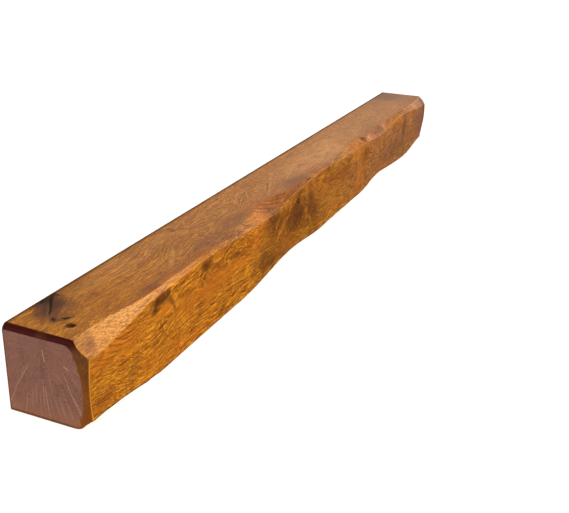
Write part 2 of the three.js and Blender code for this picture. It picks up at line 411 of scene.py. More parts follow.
# Soft-edged patches of colour in the wood, and of painted shade: (middle, radii, strength).
PATCHES = {
    "black": (
        ((92, 146, 145), (24, 12, 20), 2.4), ((115, 142, 145), (5, 10, 16), 0.9),
        ((774, 0, 113), (13, 12, 9), 1.1), ((766, 0, 60), (12, 12, 7), 0.8), ((203, 0, 131), (10, 12, 8), 0.5),
    ),
    "brown": (
        ((66, 122, 145), (26, 16, 30), 1.0), ((48, 104, 145), (16, 12, 20), 0.6),
        ((94, 124, 145), (22, 18, 20), 0.9), ((48, 86, 145), (14, 10, 20), 0.5),
        ((150, 124, 145), (40, 20, 20), 0.25), ((1802, 12, 135), (44, 22, 22), 0.7),
        ((57, 74, 145), (9, 9, 20), 0.4), ((198, 0, 129), (16, 24, 10), 0.9), ((350, 0, 70), (90, 30, 50), 0.18),
        ((640, 0, 70), (90, 30, 50), 0.25), ((830, 0, 76), (80, 30, 60), 0.3), ((1170, 0, 70), (120, 30, 60), 0.12),
        ((26, 0, 70), (40, 30, 40), 0.14), ((800, 64, 145), (90, 36, 20), 0.16),
        ((92, 84, 145), (36, 22, 20), 0.32), ((1345, 12, 138), (64, 22, 16), 0.6),
        ((1218, 12, 138), (24, 20, 16), 0.2), ((400, 0, 102), (110, 24, 12), 0.18),
        ((1000, 0, 98), (90, 24, 18), 0.2),
        ((360, 0, 128), (22, 18, 10), 0.4), ((414, 0, 19), (17, 16, 10), 0.4),
        ((470, 0, 108), (36, 18, 9), 0.35), ((605, 0, 42), (46, 24, 18), 0.6),
        ((650, 0, 24), (60, 24, 16), 0.4), ((655, 0, 104), (50, 22, 26), 0.7),
        ((758, 0, 88), (46, 28, 34), 0.95), ((848, 0, 86), (42, 30, 50), 0.55),
        ((960, 0, 128), (60, 26, 12), 0.3), ((1225, 0, 106), (16, 24, 16), 0.5),
        ((1030, 0, 112), (60, 22, 20), 0.2), ((1595, 0, 96), (16, 26, 34), 0.35),
        ((1826, 0, 75), (16, 26, 90), 0.4), ((1770, 110, 145), (80, 50, 30), 0.35),
        ((560, 145, 40), (34, 24, 24), 0.7), ((1240, 145, 96), (24, 24, 20), 0.7),
        ((1380, 70, 0), (28, 24, 24), 0.7),
    ),
    "mauve": (
        ((204, 22, 145), (26, 9, 20), 0.6), ((250, 18, 145), (40, 7, 20), 0.25),
        ((320, 18, 145), (60, 10, 24), 0.3), ((400, 30, 145), (60, 14, 24), 0.4),
        ((500, 36, 145), (90, 18, 24), 0.4), ((564, 47, 145), (40, 12, 24), 0.4),
        ((24, 12, 132), (22, 20, 16), 0.7), ((88, 102, 145), (26, 16, 20), 0.5),
        ((358, 0, 128), (20, 18, 11), 0.9), ((752, 0, 90), (36, 26, 26), 0.8),
        ((822, 34, 145), (60, 18, 22), 0.3), ((1500, 0, 55), (60, 26, 26), 0.4),
        ((1590, 0, 100), (40, 26, 50), 0.3), ((24, 0, 34), (20, 24, 14), 0.4),
        ((470, 8, 141), (60, 10, 8), 0.5), ((922, 0, 41), (24, 20, 12), 0.3),
    ),
    "gold": (
        ((70, 0, 104), (84, 30, 18), 0.8), ((214, 0, 104), (16, 18, 9), 1.0),
        ((440, 0, 86), (130, 26, 20), 0.8), ((320, 0, 85), (70, 24, 22), 0.5),
        ((692, 0, 88), (32, 20, 20), 0.6), ((812, 0, 84), (14, 20, 34), 0.5),
        ((570, 0, 112), (44, 24, 18), 0.8), ((700, 0, 40), (40, 20, 12), 0.3),
        ((330, 5, 143), (90, 14, 7), 1.2), ((1185, 10, 141), (60, 20, 14), 1.4),
        ((1190, 0, 60), (30, 24, 60), 0.6), ((1335, 10, 138), (60, 20, 14), 1.0),
        ((1480, 8, 140), (90, 16, 12), 0.9), ((1790, 10, 138), (50, 20, 16), 0.7),
        ((130, 50, 145), (60, 24, 20), 0.3),
        ((150, 0, 30), (40, 24, 20), 0.3), ((622, 14, 140), (52, 22, 18), 1.3),
    ),
    "red": (
        ((42, 0, 39), (10, 16, 9), 0.4), ((24, 0, 30), (24, 18, 14), 0.4),
        ((247, 0, 30), (50, 20, 16), 0.3), ((206, 6, 142), (26, 12, 10), 0.8),
        ((490, 0, 106), (60, 22, 16), 0.35), ((374, 0, 112), (30, 22, 14), 0.2),
        ((680, 16, 140), (60, 18, 14), 0.4), ((730, 0, 22), (60, 22, 14), 0.35),
        ((1800, 14, 135), (50, 24, 24), 0.2), ((1000, 0, 98), (90, 22, 16), 0.45),
        ((810, 0, 76), (80, 24, 24), 0.25),
        ((770, 14, 142), (90, 14, 12), 0.5), ((690, 0, 50), (30, 18, 16), 0.3),
        ((1050, 0, 28), (90, 22, 12), 0.3), ((560, 138, 145), (90, 12, 14), 0.2),
        ((764, 112, 145), (30, 12, 16), 0.35), ((900, 10, 137), (80, 20, 12), 0.5),
        ((300, 0, 14), (80, 18, 12), 0.3),
    ),
    "grey": (
        ((116, 0, 42), (16, 22, 20), 0.5), ((70, 132, 145), (12, 10, 16), 0.5),
        ((60, 114, 145), (16, 12, 16), 0.4), ((828, 34, 145), (40, 14, 16), 0.5),
        ((1582, 0, 86), (18, 22, 40), 0.5), ((262, 0, 52), (14, 20, 12), 0.2),
        ((1600, 0, 38), (110, 24, 20), 0.35),
    ),
    # Painted shade: the front from about 550 along to the far end, and the back of the top near the far end, painted
    # dimmer as if less lit.
    "painted_shade": (
        ((700, 0, 60), (150, 40, 80), 0.5), ((1000, 0, 70), (300, 40, 90), 0.4),
        ((1480, 0, 70), (340, 44, 90), 0.55), ((1780, 60, 110), (90, 90, 90), 0.3),
        ((1790, 0, 75), (90, 40, 90), 0.5), ((1780, 120, 145), (80, 40, 30), 0.55),
        ((1620, 120, 145), (140, 40, 30), 0.2),
    ),
    "pale": (
        ((1600, 60, 145), (240, 60, 30), 0.18), ((1040, 56, 145), (240, 44, 20), 0.7),
        ((250, 120, 145), (70, 24, 20), 0.3),
    ),
    "hewn": (
        ((140, 10, 133), (70, 60, 60), 1.0), ((40, 10, 133), (44, 60, 60), 0.5),
        ((275, 6, 140), (60, 40, 30), 0.6), ((385, 6, 140), (50, 40, 30), 0.2),
        ((606, 14, 140), (30, 40, 30), 0.2),
    ),
    "ringed": (
        ((84, 0, 116), (54, 20, 18), 1.0), ((168, 0, 128), (34, 20, 14), 0.5),
        ((215, 0, 100), (26, 20, 16), 0.35), ((345, 0, 100), (26, 20, 26), 0.3),
        ((470, 0, 104), (50, 20, 20), 0.6), ((650, 70, 145), (80, 40, 20), 0.5),
        ((760, 90, 145), (60, 34, 20), 0.4), ((745, 0, 88), (100, 26, 50), 0.8),
        ((960, 0, 118), (90, 26, 24), 0.9), ((1195, 0, 112), (60, 24, 26), 0.7),
        ((560, 145, 40), (50, 24, 40), 0.8), ((1240, 145, 96), (40, 24, 34), 0.8),
        ((1380, 70, 0), (44, 34, 24), 0.8),
    ),
}


def patches(place):
    """Strength of each named patch colour: its bell curves added, at places shifted by a random
    swell so that their edges wander."""
    shift = np.stack([
        7 * swell(place, 70, 41) + 2.5 * swell(place, 24, 44),
        3 * swell(place, 60, 42),
        4 * swell(place, 60, 43) + 2 * swell(place, 20, 45)], -1)
    moved = place + shift * smoothstep(place[..., :1], -30, 60)
    return {
        name: sum(strength * np.exp(-nearness(moved, middle, radii)) for middle, radii, strength in spots)
        for name, spots in PATCHES.items()}


def closed_grid_mesh(name, place, poles):
    """Mesh of a grid of rows by columns, closed round its columns and to a pole at each end."""
    rows, count = place.shape[:2]
    vertices = np.concatenate([place.reshape(-1, 3), poles])
    index = np.arange(rows * count).reshape(rows, count)
    after = np.roll(index, -1, 1)
    quads = np.stack([index[:-1], after[:-1], after[1:], index[1:]], -1).reshape(-1, 4)
    first_pole, last_pole = rows * count, rows * count + 1
    fan = [(first_pole, int(b), int(a)) for a, b in zip(index[0], after[0])]
    fan += [(last_pole, int(a), int(b)) for a, b in zip(index[-1], after[-1])]
    mesh = bpy.data.meshes.new(name)
    mesh.from_pydata(vertices.tolist(), [], quads.tolist() + fan)
    mesh.polygons.foreach_set("use_smooth", np.ones(len(mesh.polygons), dtype=bool))
    mesh.update()
    return mesh


def store(mesh, name, values):
    """Keeps a number or a vector for each vertex, for the wood to read."""
    kind, field = ("FLOAT", "value") if values.ndim == 1 else ("FLOAT_VECTOR", "vector")
    mesh.attributes.new(name, kind, "POINT").data.foreach_set(field, values.astype(np.float32).ravel())


def build_beam():
    """The finished beam: the skin of the solid with its tool marks, crack and open knot, and for
    each point of it how the wood grew there, and where light and shade are painted on it."""
    columns = Columns()
    place, capped, rim, poles = beam_surface(columns)
    poles = np.array(poles)

    shaped = np.zeros(columns.count)
    chamfer = np.zeros(columns.count)
    for name, arc, value in (("chamfer_foot", True, 0.4), ("chamfer_foot", False, 0.55),
                             ("face_foot", False, 0.8)):
        shaped[columns.of(name, arc)] = value
    scooped_face = columns.of("chamfer_top", False)
    shaped[scooped_face] = np.sin(np.pi * columns.share[scooped_face])
    for name, arc in (("chamfer_top", True), ("chamfer_top", False), ("chamfer_foot", True)):
        chosen = columns.of(name, arc)
        fade = {"chamfer_top": columns.share, "chamfer_foot": 1 - columns.share}[name]
        chamfer[chosen] = fade[chosen] if arc else 1
    front = np.zeros(columns.count)
    for name, arc, value in (("chamfer_foot", True, 0.6), ("chamfer_foot", False, 1),
                             ("face_foot", True, 1), ("face_foot", False, 1), ("sole", True, 0.5)):
        front[columns.of(name, arc)] = value
    front[columns.of("chamfer_top", False)] = 0.35
    # Painted shade: the rounded back edge of the top and the rounded foot of the front are painted darker, as if
    # less lit.
    edge_shade = np.zeros(columns.count)
    back_arc, top = columns.of("back", True), columns.of("back", False)
    edge_shade[back_arc] = columns.share[back_arc]
    edge_shade[top[:2]] = 1, 0.3
    edge_shade[columns.of("face_foot", True)] = 1
    # Painted light: the front is painted warmer where it is most lit, fading out from 800 to 1500 along.
    near = 1 - smoothstep(place[..., 0], 800, 1500)
    front_lit_warmth = np.concatenate([(near * front).ravel(), [0, 0]])
    on_side = (1 - capped)[:, None] * (1 - rim)[:, None]
    marks = tool_marks(place, shaped[None, :] * on_side)
    grown = place.copy()
    place = place + grid_normals(place) * marks[..., None]
    place[:, top, 2] -= sunk(place[:, top, 0], place[:, top, 1]) * on_side

    points = np.concatenate([grown.reshape(-1, 3), poles])
    spread = np.ones_like(place[..., 0])
    cut = np.stack([spread * capped[:, None], spread * rim[:, None], spread * chamfer], -1)
    cut = np.concatenate([cut.reshape(-1, 3), [[1, 1, 0], [1, 1, 0]]])
    edge_shade = np.concatenate([(on_side * edge_shade).ravel(), [0, 0]])
    tones = patches(points)

    origin = np.array([LENGTH / 2, DEPTH / 2, 0])
    mesh = closed_grid_mesh("oak_beam_finished", (place - origin) * MM, (poles - origin) * MM)
    store(mesh, "ring", growth_rings(points))
    store(mesh, "fibre", fibres(points))
    store(mesh, "cut", cut)
    store(mesh, "stain", np.stack([tones["black"], tones["brown"], tones["mauve"]], -1))
    store(mesh, "glow", np.stack([tones["gold"], tones["red"], tones["pale"]], -1))
    # The first of these is a grey tone of the wood, the second painted shade and the third painted light on the
    # front.
    store(mesh, "shade", np.stack([tones["grey"], tones["painted_shade"], front_lit_warmth], -1))
    # Of these three, the last is painted shade along the edges; the other two are the wood's own.
    store(mesh, "worked_and_edge_shade", np.stack([tones["ringed"], tones["hewn"], edge_shade], -1))
    beam = bpy.data.objects.new("oak_beam_finished", mesh)
    bpy.context.scene.collection.objects.link(beam)
    return beam


class Tone:
    """A number in a material. Sums, differences, products and quotients on it, with numbers or with
    other tones, add the Math nodes that work them out."""

    def __init__(self, finish, socket):
        self.finish = finish
        self.socket = socket

    def __add__(self, other):
        return self.finish.math("ADD", self, other)

    __radd__ = __add__

    def __sub__(self, other):
        return self.finish.math("SUBTRACT", self, other)

    def __rsub__(self, other):
        return self.finish.math("SUBTRACT", other, self)

    def __mul__(self, other):
        return self.finish.math("MULTIPLY", self, other)

    __rmul__ = __mul__

    def __truediv__(self, other):
        return self.finish.math("DIVIDE", self, other)

    def __rtruediv__(self, other):
        return self.finish.math("DIVIDE", other, self)

    def __pow__(self, other):
        return self.finish.math("POWER", self, other)


class Finish:
    """A material whose nodes are written as expressions."""

    def __init__(self, name):
        self.material = bpy.data.materials.new(name)
        self.material.use_nodes = True
        self.tree = self.material.node_tree
        self.tree.nodes.clear()

    def node(self, kind, settings=None, inputs=None):
        """A node of a kind, with its settings made first and then its sockets given or linked."""
        node = self.tree.nodes.new(kind)
        for name, value in (settings or {}).items():
            setattr(node, name, value)
        for key, value in (inputs or {}).items():
            value = value.socket if isinstance(value, Tone) else value
            if isinstance(value, bpy.types.NodeSocket):
                self.tree.links.new(value, node.inputs[key])
            else:
                node.inputs[key].default_value = value
        return node

    def math(self, operation, *values):
        made = self.node("ShaderNodeMath", {"operation": operation}, dict(enumerate(values)))
        return Tone(self, made.outputs[0])

    def vector(self, operation, *values):
        made = self.node("ShaderNodeVectorMath", {"operation": operation}, dict(enumerate(values)))
        return made.outputs[0]

    def dot(self, first, second):
        made = self.node("ShaderNodeVectorMath", {"operation": "DOT_PRODUCT"}, {0: first, 1: second})
        return Tone(self, made.outputs["Value"])

    def parts(self, vector):
        made = self.node("ShaderNodeSeparateXYZ", inputs={0: vector})
        return [Tone(self, socket) for socket in made.outputs]

    def joined(self, x, y, z):
        return self.node("ShaderNodeCombineXYZ", inputs={0: x, 1: y, 2: z}).outputs[0]

    def kept(self, name):
        """A value kept for each vertex of the mesh: the number, and the vector."""
        made = self.node("ShaderNodeAttribute", {"attribute_name": name})
        return Tone(self, made.outputs["Fac"]), made.outputs["Vector"]

    def noise(self, vector, detail=2.0, roughness=0.5, warp=0.0):
        settings = {"Vector": vector, "Scale": 1.0, "Detail": detail, "Roughness": roughness}
        return Tone(self, self.node("ShaderNodeTexNoise", None, {**settings, "Distortion": warp}).outputs[0])

    def grain_noise(self, fibre, length, width, **more):
        """Noise in streaks of about a length and a width, in millimetres, lying along the fibres."""
        return self.noise(self.vector("MULTIPLY", fibre, (1 / length, 1 / width, 1 / width)), **more)

    def step(self, value, low, high, out_low=0.0, out_high=1.0):
        """A smooth step of a value from one level to another."""
        settings = {"interpolation_type": "SMOOTHSTEP"}
        inputs = {"Value": value, 1: low, 2: high, 3: out_low, 4: out_high}
        return Tone(self, self.node("ShaderNodeMapRange", settings, inputs).outputs[0])

    def mix(self, factor, first, second, blend="MIX"):
        settings = {"data_type": "RGBA", "blend_type": blend, "clamp_factor": True}
        return self.node("ShaderNodeMix", settings, {0: factor, 6: first, 7: second}).outputs[2]


def paint(red, green, blue):
    """A colour given as it looks on a screen, 0 to 255, as the linear values that a shader takes."""
    linear = [((v / 255 + 0.055) / 1.055) ** 2.4 if v > 10 else v / 255 / 12.92 for v in (red, green, blue)]
    return (*linear, 1.0)


# Colours of the oiled oak.
GOLDEN = paint(156, 92, 12)
LIGHT_STREAK = paint(200, 132, 38)
DARK_STREAK = paint(110, 58, 0)
PORE = paint(104, 54, 0)
RING_LINE = paint(122, 58, 0)
RING_LIGHT = paint(196, 124, 18)
ARC_ORANGE = paint(112, 48, 0)
GOLDEN_LINE = paint(226, 156, 46)
TOP_LIGHT = paint(206, 148, 88)
TOP_BEIGE = paint(166, 107, 50)
# Painted light: how much warmer the most lit part of the front is painted.
FRONT_LIT_WARMTH = (1.04, 1.0, 0.1, 1.0)
# The open knot's hollow: dark wood and painted shade.
KNOT_DARK_AND_SHADE = paint(86, 56, 18)
TONES = {
    "gold": paint(176, 98, 0),
    "red": paint(150, 68, 0),
    "pale": paint(204, 140, 80),
    "hewn": paint(204, 140, 84),
    "grey": paint(92, 70, 36),
    "mauve": paint(106, 60, 36),
    # The colour of the painted shade.
    "painted_shade": paint(122, 77, 54),
    "brown": paint(80, 40, 8),
    "black": paint(34, 17, 0),
}
END_BROWN = paint(150, 100, 82)
END_WARM = paint(170, 112, 74)
END_DARK = paint(104, 64, 52)
END_RAY = paint(216, 160, 124)
BEVEL_TOP = paint(76, 4, 0)
BEVEL_HIGH = paint(98, 52, 20)
BEVEL_LOW = paint(134, 68, 0)
# Painted highlight along the outer edge of the end bevel on the front.
PAINTED_EDGE_HIGHLIGHT = paint(214, 134, 26)
# Painted shade along the back edge of the top and the foot of the front.
PAINTED_EDGE_SHADE = paint(64, 36, 8)

# Thin lines in the wood, each a stroke of the brush: its two ends, its half width, how far its
# middle bows aside and its strength. Light rays that stand out in the left end, as (back, up):
END_RAYS = (
    ((76, 120), (73, 98), 0.9, 0, 0.8), ((102, 88), (132, 42), 0.7, 0, 0.7), ((92, 62), (94, 22), 0.6, 0, 0.6),
    ((79, 70), (80, 20), 0.7, 0, 0.7), ((76, 58), (70, 5), 0.7, 1, 0.9), ((42, 92), (29, 54), 0.6, 0, 0.6),
    ((36, 72), (10, 16), 0.7, 1, 0.9), ((62, 46), (50, 8), 0.5, 0, 0.6), ((108, 40), (116, 2), 0.6, 0, 0.7),
    ((128, 44), (145, 12), 0.6, 0, 0.8), ((86, 48), (87, 4), 0.5, 0, 0.6), ((48, 66), (28, 12), 0.5, 0, 0.5),
    ((32, 96), (40, 101), 1.2, 0, 0.8), ((70, 44), (62, 6), 0.5, 0, 0.5), ((98, 52), (103, 14), 0.5, 0, 0.5),
    ((20, 44), (14, 26), 0.6, 0, 0.6),
)
# The crack, the slits and the blackened wood in the top, with painted shade in the crack and the slits, as (along,
# back):
TOP_LINES = (
    ((48, 98), (110, 144), 1.0, -1.0, 1), ((78, 119), (112, 145), 1.7, 0, 1),
    ((78, 136), (106, 152), 5.0, 0, 0.9), ((113, 126), (116, 150), 3.0, 0, 0.7),
    ((40, 82), (48, 92), 2.4, 0, 0.8), ((51, 79), (57, 68), 2.6, 0, 0.95), ((50, 73), (62, 69), 1.8, 0, 0.8),
    ((40, 86), (48, 84), 1.4, 0, 0.7), ((566, 123), (583, 121), 1.4, 0, 0.5),
)
# Brown stains in the top, and its thin dark lines, with painted shade under the chamfer's lumps from 1150 to 1252
# along, as (along, back):
TOP_STAINS_AND_SHADE = (
    ((28, 92), (88, 142), 5.5, 0, 0.6), ((12, 84), (60, 117), 2.0, 0, 0.45), ((36, 104), (70, 132), 2.2, 0, 0.4),
    ((50, 90), (112, 136), 8.0, -2, 0.7), ((80, 100), (118, 126), 5.0, 0, 0.5), ((36, 78), (54, 97), 6.5, 0, 0.7),
    ((42, 82), (66, 64), 6.5, 0, 0.6), ((40, 112), (92, 150), 8.0, 0, 0.6), ((430, 110), (441, 131), 6.0, 0, 0.6), ((444, 114), (458, 86), 4.5, 0, 0.3),
    ((600, 66), (706, 90), 1.2, 5, 0.6), ((640, 72), (722, 84), 1.1, 4, 0.6), ((716, 52), (800, 84), 1.2, 0, 0.6),
    ((620, 92), (690, 112), 1.2, 3, 0.4), ((592, 30), (640, 8), 1.8, 0, 0.6), ((612, 32), (668, 8), 2.0, 0, 0.7),
    ((636, 33), (694, 10), 2.0, 0, 0.7), ((662, 32), (716, 12), 1.8, 0, 0.6), ((690, 30), (740, 12), 1.8, 0, 0.5),
    ((1150, 8), (1172, 30), 3.0, 3, 0.4), ((1196, 4), (1222, 30), 3.0, -3, 0.35),
    ((1238, 2), (1252, 34), 6.0, 0, 0.6), ((1372, 4), (1392, 30), 3.0, 0, 0.25),
    ((440, 16), (466, 3), 2.0, 0, 0.5), ((520, 18), (548, 4), 2.0, 0, 0.5), ((478, 16), (506, 4), 2.0, 0, 0.4),
)
# Light lines in the top, with painted highlights on the chamfer's lumps from 1158 to 1238 along, as (along, back):
TOP_LIGHTS = (
    ((290, 34), (364, 74), 5.0, 0, 0.3), ((300, 92), (420, 124), 5.0, 3, 0.25),
    ((1158, 6), (1204, 20), 4.0, -3, 0.35), ((1204, 12), (1238, 24), 4.0, -3, 0.35),
    ((608, 60), (650, 94), 1.6, 3, 0.5), ((650, 58), (706, 94), 1.6, 3, 0.5), ((700, 40), (790, 74), 1.8, 2, 0.5),
    ((760, 66), (880, 106), 2.0, 3, 0.5), ((612, 78), (700, 106), 1.5, 4, 0.5), ((820, 52), (960, 78), 2.2, 3, 0.5),
)
# Dark orange lines that hang from the lower edge of the chamfer in the front, as (along, up):
FRONT_ARCS = (
    ((4, 110), (60, 90), 1.2, -3, 0.4), ((14, 117), (90, 92), 1.3, -8, 0.5), ((34, 118), (176, 112), 1.3, -22, 0.5),
    ((54, 119), (164, 114), 1.4, -17, 0.6), ((72, 121), (156, 118), 1.5, -14, 0.7), ((86, 123), (150, 122), 1.3, -10, 0.6),
    ((98, 125), (142, 125), 1.2, -7, 0.5), ((920, 124), (1010, 104), 1.6, -10, 0.4),
    ((938, 128), (1020, 112), 1.6, -9, 0.4), ((958, 132), (1026, 120), 1.6, -8, 0.4),
)
# Brown stains in the front, round the knots and burrs, as (along, up):
FRONT_STAINS = (
    ((146, 119), (196, 133), 4.0, -1, 0.35), ((184, 130), (232, 130), 10.0, 0, 0.9),
    ((210, 134), (246, 88), 5.5, 5, 0.6), ((198, 92), (207, 64), 4.0, -2, 0.5),
    ((336, 91), (350, 118), 4.2, 0, 0.55), ((338, 127), (376, 133), 8.0, 0, 0.5),
    ((362, 130), (404, 107), 4.5, 0, 0.45), ((424, 114), (490, 101), 3.6, -2, 0.6),
    ((462, 111), (488, 103), 2.6, 0, 0.8), ((484, 97), (518, 93), 2.4, 0, 0.5),
    ((400, 10), (428, 25), 6.0, 0, 0.5), ((616, 128), (710, 92), 12.0, 0, 0.5),
    ((640, 104), (690, 78), 2.6, 2, 0.5), ((708, 78), (776, 120), 5.0, 9, 0.5),
    ((716, 78), (798, 66), 5.0, -14, 0.5), ((712, 88), (804, 86), 24.0, 0, 0.55),
    ((836, 134), (884, 50), 14.0, -4, 0.3), ((800, 120), (812, 70), 3.0, 4, 0.4),
    ((910, 128), (1000, 112), 1.8, -4, 0.5), ((916, 120), (1004, 104), 1.8, -4, 0.5),
    ((1226, 124), (1236, 84), 2.4, 0, 0.6), ((1580, 122), (1586, 52), 2.6, 0, 0.5),
)
# Golden lines in the front, as (along, up):
FRONT_LIGHTS = (
    ((656, 60), (716, 104), 6.0, 5, 0.4), ((690, 46), (722, 72), 4.0, 4, 0.25), ((646, 88), (682, 116), 4.0, 4, 0.3),
    ((716, 108), (764, 130), 3.6, 3, 0.4), ((806, 94), (828, 60), 4.0, 3, 0.4), ((832, 66), (854, 40), 4.0, 3, 0.35),
    ((400, 38), (446, 12), 1.6, 0, 0.6), ((414, 40), (452, 20), 1.2, 0, 0.5), ((340, 104), (354, 88), 2.6, 0, 0.5),
    ((560, 66), (640, 60), 1.6, 1, 0.4), ((250, 60), (276, 44), 1.6, 0, 0.4), ((770, 44), (850, 30), 5.0, 0, 0.2),
)


def oak():
    """Oiled oak: growth rings, pores and streaks along the fibres, patches of colour round the
    knots, and rays fanning from the pith in the end grain."""
    wood = Finish("oiled_oak")
    ring, _ = wood.kept("ring")
    _, fibre = wood.kept("fibre")
    capped, rim, chamfer = wood.parts(wood.kept("cut")[1])
    black, brown, mauve = wood.parts(wood.kept("stain")[1])
    gold, red, pale = wood.parts(wood.kept("glow")[1])
    grey, painted_shade, front_lit_warmth = wood.parts(wood.kept("shade")[1])
    ringed, hewn, edge_shade = wood.parts(wood.kept("worked_and_edge_shade")[1])
    metres = wood.node("ShaderNodeTexCoord").outputs["Object"]
    spot = wood.vector("MULTIPLY_ADD", metres, (1 / MM, 1 / MM, 1 / MM), (LENGTH / 2, DEPTH / 2, 0))
    along, back, up = wood.parts(spot)

    # Growth rings: a slow change of tone from one ring to the next, with a band of pores.
    wobble = wood.grain_noise(fibre, 90, 9, detail=2)
    rings = (ring + wobble * 3.0) / 6.0
    year = wood.math("FLOOR", rings)
    within = rings - year
    late = within * within * wood.step(within, 1.0, 0.93)
    yearly = wood.noise(wood.joined(year * 3.7, 0.0, along * 0.002), detail=0)

    # Streaks and pores along the fibres.
    broad = wood.grain_noise(fibre, 160, 10, detail=2, roughness=0.55)
    middle = wood.grain_noise(fibre, 60, 3.2, detail=1, roughness=0.5)
    fine = wood.grain_noise(fibre, 30, 1.4, detail=1, roughness=0.5)
    speck = wood.grain_noise(fibre, 6, 1.3, detail=0)
    dashes = wood.step(wood.grain_noise(fibre, 8, 1.4, detail=0), 0.56, 0.7)
    cloud = wood.noise(wood.vector("MULTIPLY", spot, (1 / 80, 1 / 40, 1 / 40)), detail=3)
    high = wood.step(up, 134.0, 139.0)
    on_top = wood.math("MAXIMUM", high, chamfer)
    on_front = wood.step(back, 16.0, 12.0) * (1 - chamfer)

    farther = wood.step(along, 60.0, 500.0)
    light = (broad - 0.5) * 0.45 + (middle - 0.5) * (0.3 + farther * 0.8)
    light = light + (fine - 0.5) * (1.8 + farther * 0.8) + (speck - 0.5) * 0.9
    light = light * (1 - 0.2 * high * (1 - chamfer))
    light = light + (cloud - 0.5) * 0.6 - (late - 0.3) * 0.3 + (yearly - 0.5) * 0.3
    colour = wood.mix(wood.step(light, -0.05, 0.6), GOLDEN, LIGHT_STREAK)
    colour = wood.mix(wood.step(light, 0.02, -0.6), colour, DARK_STREAK)
    colour = wood.mix(high * (1 - chamfer) * farther * 0.35, colour, TOP_BEIGE)
    ragged = (broad - 0.5) * 0.8 + (middle - 0.5) * 1.1 + (fine - 0.5) * 0.9 + (cloud - 0.5) * 1.2
    # One of these tones is painted shade; the others are the wood's own.
    for name, amount in (("painted_shade", painted_shade), ("pale", pale), ("gold", gold), ("red", red), ("grey", grey),
                         ("hewn", hewn * chamfer), ("mauve", mauve), ("brown", brown), ("black", black)):
        share = amount * (1 + ragged * 1.2) - wood.step(light, 0.0, 0.7) * 0.25 * amount
        colour = wood.mix(share, colour, TONES[name])
    bright = 1 + (fine - 0.5) * (0.6 + farther * 0.4 + chamfer * 0.5) + (speck - 0.5) * 0.5 + (middle - 0.5) * 0.3
    colour = wood.mix(1.0, colour, wood.joined(bright, bright, bright), blend="MULTIPLY")
    ringed = ringed * (1 - chamfer)
    line = wood.step(within, 0.45, 0.8) * wood.step(within, 1.0, 0.9)
    colour = wood.mix(ringed * line * (0.35 + middle * 0.5), colour, RING_LINE)
    colour = wood.mix(ringed * wood.step(within, 0.5, 0.2) * 0.3, colour, RING_LIGHT)
    pored = dashes * (0.14 + 0.03 * chamfer)
    colour = wood.mix(pored, colour, PORE)

    # Brown stains and golden lines, and then the crack, the slits and the open knot, dark inside with dark wood and
    # painted shade.
    waver = (wood.noise(wood.vector("MULTIPLY", spot, (1 / 9, 1 / 9, 1 / 9)), detail=2) - 0.5) * 5.0
    flowing = brushed(wood, FRONT_ARCS, along + waver * 1.4, up + waver * 1.4) * on_front
    colour = wood.mix(flowing * (0.8 + ragged + (fine - 0.5) * 1.2), colour, ARC_ORANGE)
    # Painted shade under the chamfer's lumps is among the top's brown strokes.
    stains_and_shade = wood.math("MAXIMUM", brushed(wood, TOP_STAINS_AND_SHADE, along + waver, back - waver) * on_top,
                        brushed(wood, FRONT_STAINS, along + waver, up + waver) * on_front)
    colour = wood.mix(stains_and_shade * (0.8 + ragged + (fine - 0.5) * 1.6), colour, TONES["brown"])
    golden = brushed(wood, FRONT_LIGHTS, along + waver * 1.4, up + waver * 1.4) * on_front
    colour = wood.mix(golden * (0.3 + ragged + (fine - 0.5) * 3.5), colour, GOLDEN_LINE)
    # Painted highlights on the crests of the chamfer's lumps are among these light strokes.
    lighter = brushed(wood, TOP_LIGHTS, along + waver, back - waver) * on_top
    colour = wood.mix(lighter * (0.2 + fine * 0.9), colour, TOP_LIGHT)
    # Painted light: the front, most of all toward the left end, is painted warmer and more saturated, as where it is
    # most lit.
    colour = wood.mix(front_lit_warmth, colour, FRONT_LIT_WARMTH, blend="MULTIPLY")
    # Painted shade: the crack and the slits are painted black inside, together with the blackened wood, since the
    # key light casts no shadow into them.
    black_and_crack_shade = brushed(wood, TOP_LINES, along + waver * 0.6, back - waver * 0.6) * on_top
    colour = wood.mix(black_and_crack_shade * (1 - capped), colour, TONES["black"])
    # Painted shade along the back edge of the top and the foot of the front.
    colour = wood.mix(edge_shade * 0.8, colour, PAINTED_EDGE_SHADE)
    # Painted shade and dark wood: the open knot's hollow is painted dark.
    u, v = turned(wood, along, back, *OPEN_KNOT["at"], OPEN_KNOT["turn"])
    bowl = (u / OPEN_KNOT["radii"][0]) ** 2.0 + (v / OPEN_KNOT["radii"][1]) ** 2.0
    colour = wood.mix(wood.step(bowl, 1.5, 0.7) * on_top * 0.95, colour, KNOT_DARK_AND_SHADE)

